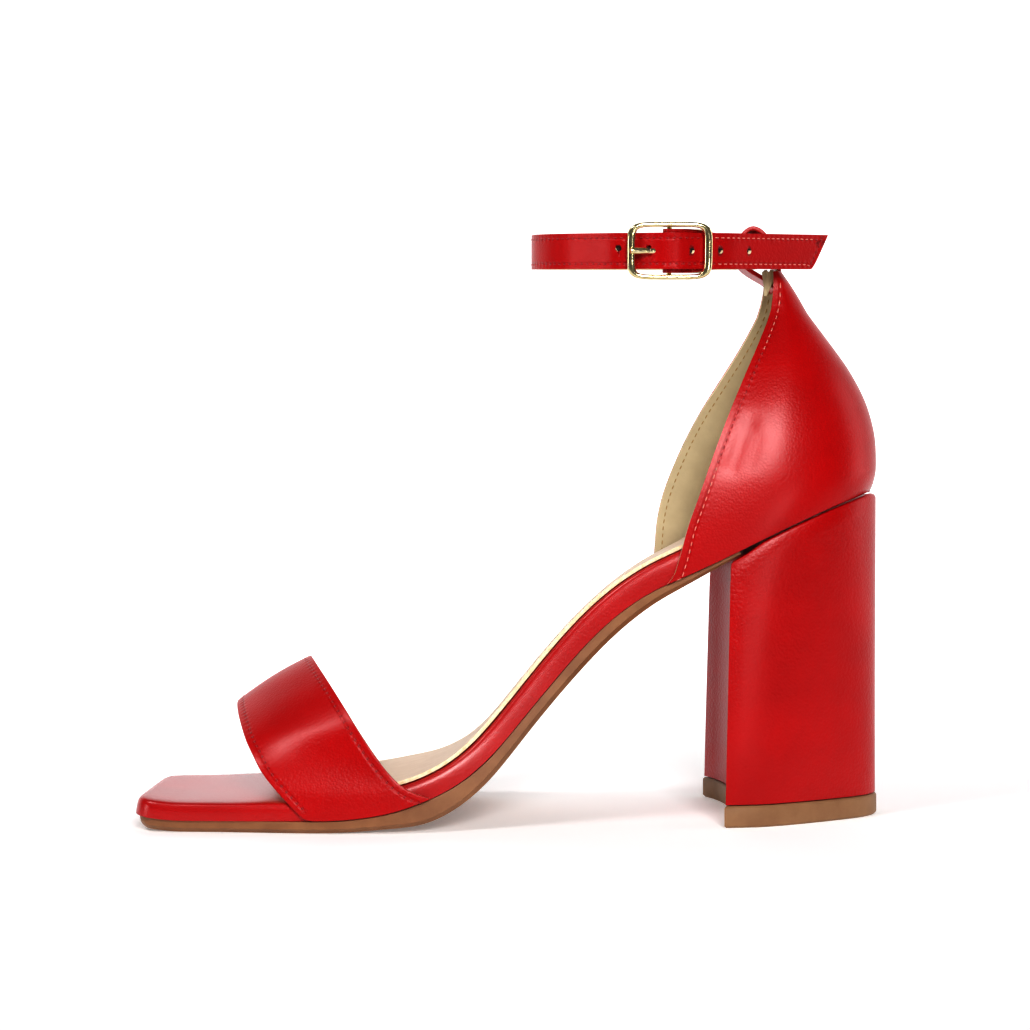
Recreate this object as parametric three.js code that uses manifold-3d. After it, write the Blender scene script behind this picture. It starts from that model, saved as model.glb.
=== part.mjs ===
// Block heel ankle strap sandal, the left shoe, women's EU 37.
// X runs from the toe (-X) to the back of the heel (+X), the outer side of the foot is -Y, and Z is up.
// Z = 0 is the floor under the forefoot and the heel. Everything is in millimetres.
import * as THREE from 'three';
import { mergeVertices } from 'three/addons/utils/BufferGeometryUtils.js';
import Module from 'manifold-3d';

// Driving dimensions
const shoeLength = 212.6; // toe edge to the back of the heel cup, measured along the floor
const ballWidth = 74; // across the insole at the ball
const seatRise = 91.5; // how much higher the heel seat is than the forefoot
const heelCupBulge = 1.9; // the heel cup's fullest point behind its lower edge
const toeCornerLateral = 6; // plan radius of the square toe's outer corner
const toeCornerMedial = 15; // plan radius of the square toe's inner corner
const clearance = 0.3; // between two pieces that touch
const outsoleThickness = 3.1;
const outsoleBevel = 1.6;
const outsoleToeRadius = 4.5;
const outsoleEnd = 0.7965; // share of the length where the outsole tapers out under the heel
const insoleThickness = 7.4;
const insoleEdgeRadius = 2;
const sockThickness = 0.8;
const sockInset = 1.8;
const sockStart = 0.2; // share of the length where the sock begins, under the toe strap
const toeStrapWall = 1.5;
const toeStrapHeight = 43; // highest edge of the toe strap over the insole's underside
const toeStrapCrown = 0.9;
const counterWall = 1.5;
const counterHeight = 61.8; // from the seat seam to the top of the counter at the back
const counterLength = 61.6; // outer lower edge of the counter, front corner to the back
const counterHalfWidth = ballWidth * 0.3824;
const heelLength = 47.3; // breast corner to the back at the top lift
const heelWidth = ballWidth * 0.765;
const breastDepth = 5; // hollow of the heel's front face
const heelTopRounding = 1.1;
const topLiftThickness = 6.1;
const topLiftOverhang = 0.4;
const strapWidth = 10;
const strapThickness = 1.4;
const strapHeight = 165.4; // of the ankle strap's middle line over the floor, at the back tab
const strapRoll = 7.5; // degrees: the strap's inner side hangs higher
const loopBehind = 8.4; // the ankle loop's back, in the tab, lies this far ahead of the counter's top
const loopDepth = 65.3; // front of the ankle loop to its back, in the tab
const loopHalfWidth = 26.6;
const foldWidth = 12.2; // the strap's buckle end is wider
const foldThickness = 1;
const tailLength = 45;
const tailSlant = 5.8;
const tailAngle = 35; // degrees between the free tail and the shoe's length
const tabWidth = 8.8;
const tabThickness = 1.3;
const buckleWidth = 24;
const buckleHeight = 16;
const buckleSideBar = 2.4;
const buckleRail = 1.4;
const buckleDepth = 2;
const buckleCornerRadius = 2.8;
const buckleAhead = 5.15; // centre bar behind the middle of the ankle loop
const centreBarRadius = 0.7;
const centreBarRecess = 1.8; // centre bar behind the middle of the frame
const buckleEdge = 0.5; // bevel round the buckle's frame
const prongRadius = 0.65;
const foldLength = 26; // of the strap's buckle end, from the tip to where it is one layer again
const tipLength = 12; // of the tail's slanted end
const breastLean = 1.5; // the breast stands this much further back at the seat than at the lift
const liftEdge = 0.6; // bevel round the top lift
const flatShare = 0.35; // share of the width where the outsole's and the insole's middle begins
const closing = 0.0006; // share of the length left open where an outline rounds off to nothing

// The last, from the toe to the heel. along: share of the shoe's length. rise: the insole's underside,
// share of the seat rise. lateral, medial: the insole's edges, shares of the ball width. turn: degrees
// by which a line across the last points inwards. sole, insole: shares of their thicknesses. welt: how
// far the outsole's edge stands out from the insole's, share of the outsole's thickness.
const lastRows = [
  { along: 0.0, rise: 0.016, lateral: 0.48, medial: 0.235, turn: 0, sole: 1, insole: 0.7, welt: -0.36 },
  { along: 0.0275, rise: 0.007, lateral: 0.486, medial: 0.24, turn: 1, sole: 1, insole: 0.7, welt: -0.36 },
  { along: 0.07, rise: 0, lateral: 0.493, medial: 0.266, turn: 2.5, sole: 1, insole: 0.7, welt: -0.34 },
  { along: 0.13, rise: 0, lateral: 0.5, medial: 0.326, turn: 4, sole: 1, insole: 0.7, welt: -0.3 },
  { along: 0.2157, rise: 0, lateral: 0.506, medial: 0.41, turn: 5, sole: 1, insole: 0.71, welt: 0.12 },
  { along: 0.275, rise: 0.001, lateral: 0.508, medial: 0.452, turn: 5.5, sole: 1, insole: 0.78, welt: 0.3 },
  { along: 0.3427, rise: 0.017, lateral: 0.505, medial: 0.462, turn: 6, sole: 1.18, insole: 0.92, welt: 0.3 },
  { along: 0.3944, rise: 0.0535, lateral: 0.49, medial: 0.432, turn: 5.5, sole: 1.85, insole: 0.85, welt: 0.1 },
  { along: 0.4414, rise: 0.111, lateral: 0.462, medial: 0.386, turn: 4.5, sole: 1.55, insole: 0.85, welt: -0.1 },
  { along: 0.4791, rise: 0.19, lateral: 0.432, medial: 0.342, turn: 4, sole: 1.16, insole: 0.83, welt: -0.12 },
  { along: 0.5167, rise: 0.2995, lateral: 0.405, medial: 0.305, turn: 3.5, sole: 1.06, insole: 0.81, welt: -0.12 },
  { along: 0.5543, rise: 0.403, lateral: 0.382, medial: 0.276, turn: 3.6, sole: 1.06, insole: 0.85, welt: -0.12 },
  { along: 0.5967, rise: 0.514, lateral: 0.365, medial: 0.256, turn: 4.2, sole: 1.16, insole: 0.88, welt: -0.12 },
  { along: 0.639, rise: 0.6065, lateral: 0.357, medial: 0.251, turn: 4.6, sole: 1.14, insole: 0.91, welt: -0.12 },
  { along: 0.686, rise: 0.683, lateral: 0.352, medial: 0.261, turn: 4.2, sole: 0.95, insole: 0.97, welt: 0.1 },
  { along: 0.7331, rise: 0.7345, lateral: 0.352, medial: 0.29, turn: 3, sole: 0.62, insole: 1.02, welt: 0.25 },
  { along: 0.7801, rise: 0.7905, lateral: 0.352, medial: 0.32, turn: 1.2, sole: 0.32, insole: 1, welt: 0.2 },
  { along: 0.8507, rise: 0.8735, lateral: 0.352, medial: 0.34, turn: 0, sole: 0.1, insole: 0.9, welt: 0.2 },
  { along: 0.9212, rise: 0.9455, lateral: 0.352, medial: 0.345, turn: 0, sole: 0.1, insole: 0.84, welt: 0.2 },
  { along: 0.9805, rise: 0.995, lateral: 0.352, medial: 0.345, turn: 0, sole: 0.1, insole: 0.8, welt: 0.2 },
];
const heelRoundStart = 0.789; // share of the length where the seat begins to round off
const heelRoundPower = 2.6;
const insoleBack = 0.9805; // share of the length where the insole ends

// The toe strap, from its outer foot over the ridge to its inner foot. step: share of the way round.
// The Out columns are shares of the half width of the sole there, the Along columns of the shoe's
// length, and the Up columns of the toe strap's height.
const toeStrapRows = [
  { step: 0.0, frontOut: -1, frontAlong: 0.227, frontUp: 0.005, rearOut: -1, rearAlong: 0.39, rearUp: 0.005 },
  { step: 0.09, frontOut: -0.99, frontAlong: 0.198, frontUp: 0.153, rearOut: -0.99, rearAlong: 0.359, rearUp: 0.12 },
  { step: 0.18, frontOut: -0.93, frontAlong: 0.169, frontUp: 0.314, rearOut: -0.965, rearAlong: 0.336, rearUp: 0.25 },
  { step: 0.25, frontOut: -0.83, frontAlong: 0.154, frontUp: 0.425, rearOut: -0.95, rearAlong: 0.3165, rearUp: 0.386 },
  { step: 0.31, frontOut: -0.72, frontAlong: 0.143, frontUp: 0.49, rearOut: -0.895, rearAlong: 0.294, rearUp: 0.558 },
  { step: 0.38, frontOut: -0.51, frontAlong: 0.13, frontUp: 0.577, rearOut: -0.77, rearAlong: 0.2735, rearUp: 0.709 },
  { step: 0.44, frontOut: -0.25, frontAlong: 0.118, frontUp: 0.649, rearOut: -0.47, rearAlong: 0.244, rearUp: 0.877 },
  { step: 0.5, frontOut: 0, frontAlong: 0.1115, frontUp: 0.688, rearOut: -0.02, rearAlong: 0.2145, rearUp: 1 },
  { step: 0.57, frontOut: 0.3, frontAlong: 0.1135, frontUp: 0.678, rearOut: 0.36, rearAlong: 0.2085, rearUp: 0.955 },
  { step: 0.64, frontOut: 0.6, frontAlong: 0.121, frontUp: 0.6, rearOut: 0.64, rearAlong: 0.2105, rearUp: 0.845 },
  { step: 0.72, frontOut: 0.83, frontAlong: 0.134, frontUp: 0.477, rearOut: 0.84, rearAlong: 0.229, rearUp: 0.665 },
  { step: 0.82, frontOut: 0.95, frontAlong: 0.15, frontUp: 0.302, rearOut: 0.945, rearAlong: 0.2535, rearUp: 0.427 },
  { step: 0.91, frontOut: 0.99, frontAlong: 0.164, frontUp: 0.144, rearOut: 0.98, rearAlong: 0.273, rearUp: 0.204 },
  { step: 1.0, frontOut: 1, frontAlong: 0.174, frontUp: 0.005, rearOut: 1, rearAlong: 0.298, rearUp: 0.005 },
];

// The heel counter, from its lower edge to its top. up: share of the way up. The Reach columns say how
// far each front edge and the back stand from the counter's rearmost lower point, shares of its length
// (the back's own reach is positive to the rear). The Rise columns are heights over the seat seam at the
// back, shares of the counter's height. The Half columns are the front edges' half widths and full is
// the fullest half width behind them, shares of the counter's half width. straight: share of the wall's
// length before it rounds. power: how square the rounding is.
const counterRows = [
  { up: 0, outerReach: 1, outerRise: -0.44, outerHalf: 1, innerReach: 1.02, innerRise: -0.452,
    innerHalf: 0.8, backReach: 0, backRise: 0, full: 1, straight: 0.31, power: 2.6 },
  { up: 0.1, outerReach: 0.941, outerRise: -0.25, outerHalf: 1, innerReach: 0.998, innerRise: -0.24,
    innerHalf: 0.86, backReach: 0.021, backRise: 0.047, full: 1, straight: 0.3, power: 2.6 },
  { up: 0.22, outerReach: 0.867, outerRise: -0.053, outerHalf: 0.985, innerReach: 0.966, innerRise: -0.053,
    innerHalf: 0.905, backReach: 0.034, backRise: 0.125, full: 1, straight: 0.28, power: 2.6 },
  { up: 0.35, outerReach: 0.786, outerRise: 0.173, outerHalf: 0.93, innerReach: 0.883, innerRise: 0.173,
    innerHalf: 0.9, backReach: 0.031, backRise: 0.238, full: 0.965, straight: 0.24, power: 2.5 },
  { up: 0.47, outerReach: 0.708, outerRise: 0.367, outerHalf: 0.835, innerReach: 0.784, innerRise: 0.375,
    innerHalf: 0.86, backReach: -0.002, backRise: 0.392, full: 0.88, straight: 0.19, power: 2.4 },
  { up: 0.59, outerReach: 0.625, outerRise: 0.55, outerHalf: 0.69, innerReach: 0.68, innerRise: 0.548,
    innerHalf: 0.73, backReach: -0.083, backRise: 0.561, full: 0.74, straight: 0.13, power: 2.3 },
  { up: 0.71, outerReach: 0.552, outerRise: 0.704, outerHalf: 0.53, innerReach: 0.589, innerRise: 0.699,
    innerHalf: 0.58, backReach: -0.185, backRise: 0.707, full: 0.575, straight: 0.07, power: 2.2 },
  { up: 0.84, outerReach: 0.492, outerRise: 0.845, outerHalf: 0.375, innerReach: 0.516, innerRise: 0.841,
    innerHalf: 0.42, backReach: -0.292, backRise: 0.85, full: 0.41, straight: 0.03, power: 2.1 },
  { up: 0.93, outerReach: 0.468, outerRise: 0.93, outerHalf: 0.29, innerReach: 0.48, innerRise: 0.93,
    innerHalf: 0.31, backReach: -0.352, backRise: 0.937, full: 0.31, straight: 0, power: 2 },
  { up: 1, outerReach: 0.461, outerRise: 0.993, outerHalf: 0.25, innerReach: 0.471, innerRise: 0.995,
    innerHalf: 0.255, backReach: -0.409, backRise: 1, full: 0.26, straight: 0, power: 2 },
];

// Plan of the heel at the top lift. back: share of the heel's length behind the breast corners.
// outer, inner: shares of its half width, before the back is rounded off.
const liftRows = [
  { back: 0, outer: 1, inner: 1 },
  { back: 0.18, outer: 0.965, inner: 0.97 },
  { back: 0.38, outer: 0.84, inner: 0.87 },
  { back: 0.58, outer: 0.67, inner: 0.73 },
  { back: 0.78, outer: 0.5, inner: 0.58 },
  { back: 1, outer: 0.36, inner: 0.46 },
];
const heelBackPower = 9; // how square the heel's back is at the top lift

// The back tab's middle line. ahead: in front of the counter's top at the back, up: over it.
// Both are shares of the ankle strap's width.
const tabRows = [
  { ahead: 0.11, up: 0.04 },
  { ahead: 0.19, up: 0.36 },
  { ahead: 0.3, up: 0.74 },
  { ahead: 0.46, up: 1.13 },
  { ahead: 0.67, up: 1.42 },
  { ahead: 0.94, up: 1.54 },
  { ahead: 1.2, up: 1.38 },
  { ahead: 1.35, up: 1.02 },
  { ahead: 1.34, up: 0.66 },
  { ahead: 1.12, up: 0.37 },
  { ahead: 0.82, up: 0.17 },
  { ahead: 0.5, up: -0.02 },
  { ahead: 0.24, up: -0.28 },
];

const red = { color: 0xbe0610, roughness: 0.32, metalness: 0 };
const tan = { color: 0x9b6941, roughness: 0.55, metalness: 0 };
const liftTan = { color: 0xb9875a, roughness: 0.5, metalness: 0 };
const beige = { color: 0xc8b48c, roughness: 0.7, metalness: 0 };
const gold = { color: 0xd8c48c, roughness: 0.2, metalness: 1 };

const wasm = await Module();
wasm.setup();

const toRadians = THREE.MathUtils.degToRad;
const clamp = THREE.MathUtils.clamp;
const mix = THREE.MathUtils.lerp;

// A column's value at one place of a table, on a smooth curve that never overshoots its rows.
function readTable(rows, place, name, where) {
  const t = clamp(where, rows[0][place], rows.at(-1)[place]);
  const found = rows.findIndex((row, i) => i > 0 && t <= row[place]);
  const i = Math.max(found, 1) - 1;
  const pitch = (k) => (rows[k + 1][name] - rows[k][name]) / (rows[k + 1][place] - rows[k][place]);
  const slopeAt = (k) => {
    if (k === 0) return pitch(0);
    if (k === rows.length - 1) return pitch(k - 1);
    const before = pitch(k - 1);
    const after = pitch(k);
    return before * after > 0 ? (2 * before * after) / (before + after) : 0;
  };
  const run = rows[i + 1][place] - rows[i][place];
  const s = (t - rows[i][place]) / run;
  const square = s * s;
  const cube = square * s;
  return rows[i][name] * (2 * cube - 3 * square + 1) + rows[i + 1][name] * (3 * square - 2 * cube)
    + run * (slopeAt(i) * (cube - 2 * square + s) + slopeAt(i + 1) * (cube - square));
}

const onLast = (name, along) => readTable(lastRows, 'along', name, along);
const lengthwise = (along) => (along - 0.5) * shoeLength;
const alongOf = (x) => x / shoeLength + 0.5;
const insoleBase = outsoleThickness + clearance;
const lastHeight = (along) => insoleBase + seatRise * onLast('rise', along);

// Slope of the insole's underside, in radians.
function lastSlope(along) {
  const step = 0.004;
  const low = clamp(along - step, 0, insoleBack);
  const high = clamp(along + step, 0, insoleBack);
  return Math.atan2(lastHeight(high) - lastHeight(low), (high - low) * shoeLength);
}

// Half width of the last to one side (-1 outer, 1 inner), at a size that stands out by grow.
function halfWidth(along, side, grow) {
  const half = ballWidth * onLast(side < 0 ? 'lateral' : 'medial', along) + grow;
  const radius = side < 0 ? toeCornerLateral : toeCornerMedial;
  const left = radius - clamp(along * shoeLength + grow, 0, radius);
  const corner = radius - Math.sqrt(radius * radius - left * left);
  const seat = (insoleBack - heelRoundStart) * shoeLength + grow;
  const s = clamp(((along - heelRoundStart) * shoeLength) / seat, 0, 1);
  return (half - corner) * Math.sqrt(1 - s ** heelRoundPower);
}

// A point at a place along the last, out to y, and up from the insole's underside by height.
function lastPoint(along, y, height) {
  const slope = lastSlope(along);
  const x = lengthwise(along) + y * Math.tan(toRadians(onLast('turn', along)));
  return new THREE.Vector3(
    x - height * Math.sin(slope),
    y,
    lastHeight(along) + height * Math.cos(slope),
  );
}

function bodyFrom(points, triangles) {
  const geometry = new THREE.BufferGeometry();
  geometry.setAttribute('position', new THREE.Float32BufferAttribute(points.flatMap((p) => p.toArray()), 3));
  let volume = 0;
  const cross = new THREE.Vector3();
  for (const [a, b, c] of triangles) volume += points[a].dot(cross.crossVectors(points[b], points[c]));
  geometry.setIndex(triangles.flatMap(([a, b, c]) => (volume < 0 ? [a, c, b] : [a, b, c])));
  return geometry;
}

// A closed wall between two grids of points that have the same rows and columns.
function wallBetween(front, back) {
  const rows = front.length;
  const columns = front[0].length;
  const points = [...front.flat(), ...back.flat()];
  const far = rows * columns;
  const triangles = [];
  const quad = (a, b, c, d) => triangles.push([a, b, c], [a, c, d]);
  for (let i = 0; i < rows - 1; i += 1) {
    for (let j = 0; j < columns - 1; j += 1) {
      const a = i * columns + j;
      quad(a, a + 1, a + columns + 1, a + columns);
      quad(far + a, far + a + columns, far + a + columns + 1, far + a + 1);
    }
    const start = i * columns;
    const end = start + columns - 1;
    quad(start, start + columns, far + start + columns, far + start);
    quad(end, far + end, far + end + columns, end + columns);
  }
  const last = (rows - 1) * columns;
  for (let j = 0; j < columns - 1; j += 1) {
    quad(j, far + j, far + j + 1, j + 1);
    quad(last + j, last + j + 1, far + last + j + 1, far + last + j);
  }
  return bodyFrom(points, triangles);
}

// The grid moved along its normals, which point from a row's direction turned towards the next row.
function offsetGrid(grid, distance) {
  const rows = grid.length;
  const columns = grid[0].length;
  return grid.map((row, i) => row.map((point, j) => {
    const acrossRow = grid[i][Math.min(j + 1, columns - 1)].clone().sub(grid[i][Math.max(j - 1, 0)]);
    const alongColumn = grid[Math.min(i + 1, rows - 1)][j].clone().sub(grid[Math.max(i - 1, 0)][j]);
    const normal = acrossRow.cross(alongColumn).normalize();
    return point.clone().addScaledVector(normal, distance);
  }));
}

// Outlines stacked into a closed body. Every outline has the same number of points.
function stackOutlines(outlines) {
  const count = outlines[0].length;
  const points = outlines.flat();
  const top = (outlines.length - 1) * count;
  const triangles = [];
  for (let i = 0; i < outlines.length - 1; i += 1) {
    for (let j = 0; j < count; j += 1) {
      const a = i * count + j;
      const b = i * count + ((j + 1) % count);
      triangles.push([a, b, b + count], [a, b + count, a + count]);
    }
  }
  const contour = outlines[0].map((p) => new THREE.Vector2(p.x, p.y));
  const turned = THREE.ShapeUtils.area(contour) < 0;
  for (const [a, b, c] of THREE.ShapeUtils.triangulateShape(contour, [])) {
    triangles.push(turned ? [a, b, c] : [a, c, b]);
    triangles.push(turned ? [top + a, top + c, top + b] : [top + a, top + b, top + c]);
  }
  return bodyFrom(points, triangles);
}

function toManifold(geometry) {
  const bare = geometry.clone();
  bare.deleteAttribute('normal');
  bare.deleteAttribute('uv');
  const merged = mergeVertices(bare, 1e-4);
  return new wasm.Manifold(new wasm.Mesh({
    numProp: 3,
    vertProperties: new Float32Array(merged.attributes.position.array),
    triVerts: new Uint32Array(merged.index.array),
  }));
}

function fromManifold(solid) {
  const { vertProperties, triVerts } = solid.getMesh();
  const geometry = new THREE.BufferGeometry();
  geometry.setAttribute('position', new THREE.Float32BufferAttribute(Array.from(vertProperties), 3));
  geometry.setIndex(Array.from(triVerts));
  return geometry;
}

function namedMesh(name, geometry, look) {
  const mesh = new THREE.Mesh(geometry, new THREE.MeshStandardMaterial(look));
  mesh.name = name;
  return mesh;
}

// Places along the last between two shares, closer together at the ends that are rounded.
function placesAlong(from, to, count, closeStart, closeEnd) {
  return Array.from({ length: count + 1 }, (_, i) => {
    const t = i / count;
    const eased = 0.5 - 0.5 * Math.cos(Math.PI * t);
    const slowStart = 1 - Math.cos((Math.PI * t) / 2);
    const slowEnd = Math.sin((Math.PI * t) / 2);
    const share = closeStart && closeEnd ? eased : closeStart ? slowStart : closeEnd ? slowEnd : t;
    return mix(from, to, share);
  });
}

// Sole: a flat forefoot, the shank's rise and a bevelled underside, tapering out under the heel.
function outsole() {
  const thinnest = 0.12; // share of the thickness that is left at the toe's edge
  const bevelDeepest = 0.6; // share of the thickness that the bevel takes at most
  const bevelRise = 0.8; // height of the bevel, share of its width
  const start = -onLast('welt', 0) * outsoleThickness / shoeLength;
  const top = [];
  const bottom = [];
  for (const along of placesAlong(start, outsoleEnd, 46, true, false)) {
    const grow = onLast('welt', along) * outsoleThickness;
    const outer = -halfWidth(along, -1, grow);
    const inner = halfWidth(along, 1, grow);
    const fromToe = Math.min((along - start) * shoeLength, outsoleToeRadius);
    const nose = Math.sqrt(1 - (1 - fromToe / outsoleToeRadius) ** 2);
    const thickness = outsoleThickness * onLast('sole', along) * Math.max(nose, thinnest);
    const bevel = Math.min(outsoleBevel, thickness * bevelDeepest);
    const flatFrom = mix(outer, inner, flatShare);
    const flatTo = mix(inner, outer, flatShare);
    const across = [outer, outer + bevel, flatFrom, flatTo, inner - bevel, inner];
    top.push(across.map((y) => lastPoint(along, y, -clearance)));
    bottom.push(across.map((y, j) => {
      const edge = j === 0 || j === across.length - 1;
      return lastPoint(along, y, -clearance - (edge ? thickness - bevel * bevelRise : thickness));
    }));
  }
  return wallBetween(top, bottom);
}

// Insole board wrapped in leather: rounded along its upper edge and its front.
function insole() {
  const top = [];
  const bottom = [];
  const widestRadius = 0.2; // share of the width that the edge's rounding takes at most
  for (const along of placesAlong(0, insoleBack - closing, 52, true, true)) {
    const outer = -halfWidth(along, -1, 0);
    const inner = halfWidth(along, 1, 0);
    const radius = Math.min(insoleEdgeRadius, (inner - outer) * widestRadius);
    const fromToe = Math.min(along * shoeLength, insoleEdgeRadius);
    const drop = insoleEdgeRadius - Math.sqrt(insoleEdgeRadius ** 2 - (insoleEdgeRadius - fromToe) ** 2);
    const height = insoleThickness * onLast('insole', along) - drop;
    const bend = radius * (1 - Math.SQRT1_2);
    const section = [
      [outer, height - radius], [outer + bend, height - bend], [outer + radius, height],
      [mix(outer, inner, flatShare), height], [mix(inner, outer, flatShare), height],
      [inner - radius, height], [inner - bend, height - bend], [inner, height - radius],
    ];
    top.push(section.map(([y, h]) => lastPoint(along, y, h)));
    bottom.push(section.map(([y]) => lastPoint(along, y, 0)));
  }
  return wallBetween(top, bottom);
}

// Thin sock glued on the insole, from under the toe strap to the seat.
function sockLining() {
  const top = [];
  const bottom = [];
  const end = insoleBack - sockInset / shoeLength - closing;
  for (const along of placesAlong(sockStart, end, 34, false, true)) {
    const outer = -halfWidth(along, -1, -sockInset);
    const inner = halfWidth(along, 1, -sockInset);
    const base = insoleThickness * onLast('insole', along) + clearance;
    const across = [outer, mix(outer, inner, flatShare), mix(inner, outer, flatShare), inner];
    top.push(across.map((y) => lastPoint(along, y, base + sockThickness)));
    bottom.push(across.map((y) => lastPoint(along, y, base)));
  }
  return wallBetween(top, bottom);
}

// Wide strap over the toes, lasted under the insole on both sides.
function toeStrap() {
  const onStrap = (name, step) => readTable(toeStrapRows, 'step', name, step);
  const rows = 8;
  const steps = 36;
  const outside = [];
  for (let i = 0; i <= rows; i += 1) {
    const across = i / rows;
    const row = [];
    for (let j = 0; j <= steps; j += 1) {
      const step = j / steps;
      const along = mix(onStrap('frontAlong', step), onStrap('rearAlong', step), across);
      const out = mix(onStrap('frontOut', step), onStrap('rearOut', step), across);
      const crown = toeStrapCrown * Math.sin(Math.PI * across) * Math.sin(Math.PI * step);
      const up = toeStrapHeight * mix(onStrap('frontUp', step), onStrap('rearUp', step), across) + crown;
      const turn = toRadians(onLast('turn', along));
      const reach = halfWidth(along, Math.sign(out) || 1, clearance + toeStrapWall);
      const footing = alongOf(lengthwise(along) - out * reach * Math.tan(turn));
      row.push(new THREE.Vector3(lengthwise(along), out * reach, lastHeight(footing) + up));
    }
    outside.push(row);
  }
  return wallBetween(outside, offsetGrid(outside, toeStrapWall));
}

// Heel cup with a narrow top, open at the front and underneath.
function heelCounter() {
  const swellEnd = 0.45; // share of the wall's length by which it has its full width
  const lastedPart = 0.16; // share of the height over which it leaves the insole's outline
  const rows = 20;
  const columnsEachSide = 12;
  const grow = clearance + counterWall;
  const backAlong = insoleBack + grow / shoeLength;
  const backX = lengthwise(backAlong);
  const backZ = lastHeight(insoleBack);
  const onCounter = (name, up) => readTable(counterRows, 'up', name, up);
  const outside = [];
  for (let i = 0; i <= rows; i += 1) {
    const up = i / rows;
    const row = [];
    for (let j = -columnsEachSide; j <= columnsEachSide; j += 1) {
      const side = j < 0 ? -1 : 1;
      const s = Math.cos((Math.PI / 2) * Math.abs(j / columnsEachSide));
      const name = side < 0 ? 'outer' : 'inner';
      const frontX = backX - counterLength * onCounter(`${name}Reach`, up);
      const rearX = backX + counterLength * onCounter('backReach', up);
      const frontZ = backZ + counterHeight * onCounter(`${name}Rise`, up);
      const rearZ = backZ + counterHeight * onCounter('backRise', up);
      const x = mix(frontX, rearX, s);
      const straight = onCounter('straight', up);
      const bend = clamp((s - straight) / (1 - straight), 0, 1);
      const swell = THREE.MathUtils.smoothstep(s, 0, swellEnd);
      const half = counterHalfWidth * mix(onCounter(`${name}Half`, up), onCounter('full', up), swell);
      const shaped = half * Math.sqrt(1 - bend ** onCounter('power', up));
      const along = Math.min(alongOf(x), backAlong);
      const lasted = halfWidth(along, side, grow);
      const low = 1 - THREE.MathUtils.smoothstep(up, 0, lastedPart);
      const y = side * mix(shaped, lasted, low);
      const footing = alongOf(x - y * Math.tan(toRadians(onLast('turn', along))));
      const seamZ = lastHeight(Math.min(footing, insoleBack));
      row.push(new THREE.Vector3(x, y, mix(mix(frontZ, rearZ, s), seamZ, low)));
    }
    outside.push(row);
  }
  const inside = offsetGrid(outside, -counterWall);
  inside[0].forEach((point, j) => point.setZ(outside[0][j].z));
  return wallBetween(outside, inside);
}

// A flat strip bent along a path: widths and thicknesses follow the share of the way.
function strip(path, shares, across, widthAt, thicknessAt, shift) {
  const outside = [];
  const inside = [];
  for (const share of shares) {
    const edges = [-0.5, 0.5].map((edge) => {
      const u = clamp(share + shift(share, edge), 0, 1);
      const tangent = path.getTangent(u);
      const normal = new THREE.Vector3().crossVectors(tangent, across).normalize();
      const middle = path.getPoint(u).addScaledVector(across, edge * widthAt(share));
      return [normal, middle, thicknessAt(share) / 2];
    });
    outside.push(edges.map(([normal, middle, half]) => middle.clone().addScaledVector(normal, half)));
    inside.push(edges.map(([normal, middle, half]) => middle.clone().addScaledVector(normal, -half)));
  }
  return wallBetween(outside, inside);
}

// The ankle strap and its buckle are worked out in the strap's own level frame and rolled afterwards.
const counterTopX = lengthwise(insoleBack) + clearance + counterWall
  + counterLength * counterRows.at(-1).backReach;
const loopCentre = counterTopX - loopBehind - loopDepth / 2;
const buckleMiddle = loopCentre + buckleAhead;
const foldRadius = centreBarRadius + clearance + foldThickness / 2;
const barOut = -(loopHalfWidth + foldRadius - foldThickness / 2);
const frameOut = barOut - centreBarRecess;
const crestSlack = 0.3; // the strap bends this much wider than it must round the fold
const frameSlack = 0.15; // and lies this much further behind the frame
const crestOut = barOut - foldRadius - foldThickness / 2 - clearance - strapThickness / 2 - crestSlack;
const underFrame = frameOut + buckleDepth / 2 + clearance + strapThickness / 2 + frameSlack;
const buckleHalf = buckleWidth / 2;

// The fold's two ends. beside: from the centre bar towards the heel, share of half the buckle's width.
// off: how far in from the fold's round, in millimetres.
const foldInnerRows = [
  { beside: 0.85, off: 3.3 },
  { beside: 0.45, off: 1.55 },
];
const foldOuterRows = [
  { beside: 0.4, off: 1.35 },
  { beside: 0.8, off: 3.6 },
];

// The strap's way through the buckle, over the fold. beside: from the centre bar, share of half the
// buckle's width. climb: 0 behind the frame, 1 at the crest over the fold.
const crossingRows = [
  { beside: -1.2, climb: -0.05 },
  { beside: -0.95, climb: 0 },
  { beside: -0.8, climb: 0.02 },
  { beside: -0.5, climb: 0.45 },
  { beside: -0.2, climb: 0.93 },
  { beside: 0, climb: 1 },
  { beside: 0.2, climb: 0.93 },
  { beside: 0.5, climb: 0.45 },
  { beside: 0.8, climb: 0.02 },
  { beside: 0.95, climb: 0 },
];
const tailShares = [0.12, 0.3, 0.55, 0.78, 1]; // shares of the tail's length behind the buckle
const tailStart = 0.05; // share of the tail's length where it leaves the frame's plane

const planPoint = (x, y) => new THREE.Vector3(x, y, 0);

function loopPoint(degrees) {
  const angle = toRadians(degrees);
  return planPoint(
    loopCentre + (loopDepth / 2) * Math.cos(angle),
    loopHalfWidth * Math.sin(angle),
  );
}

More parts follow.
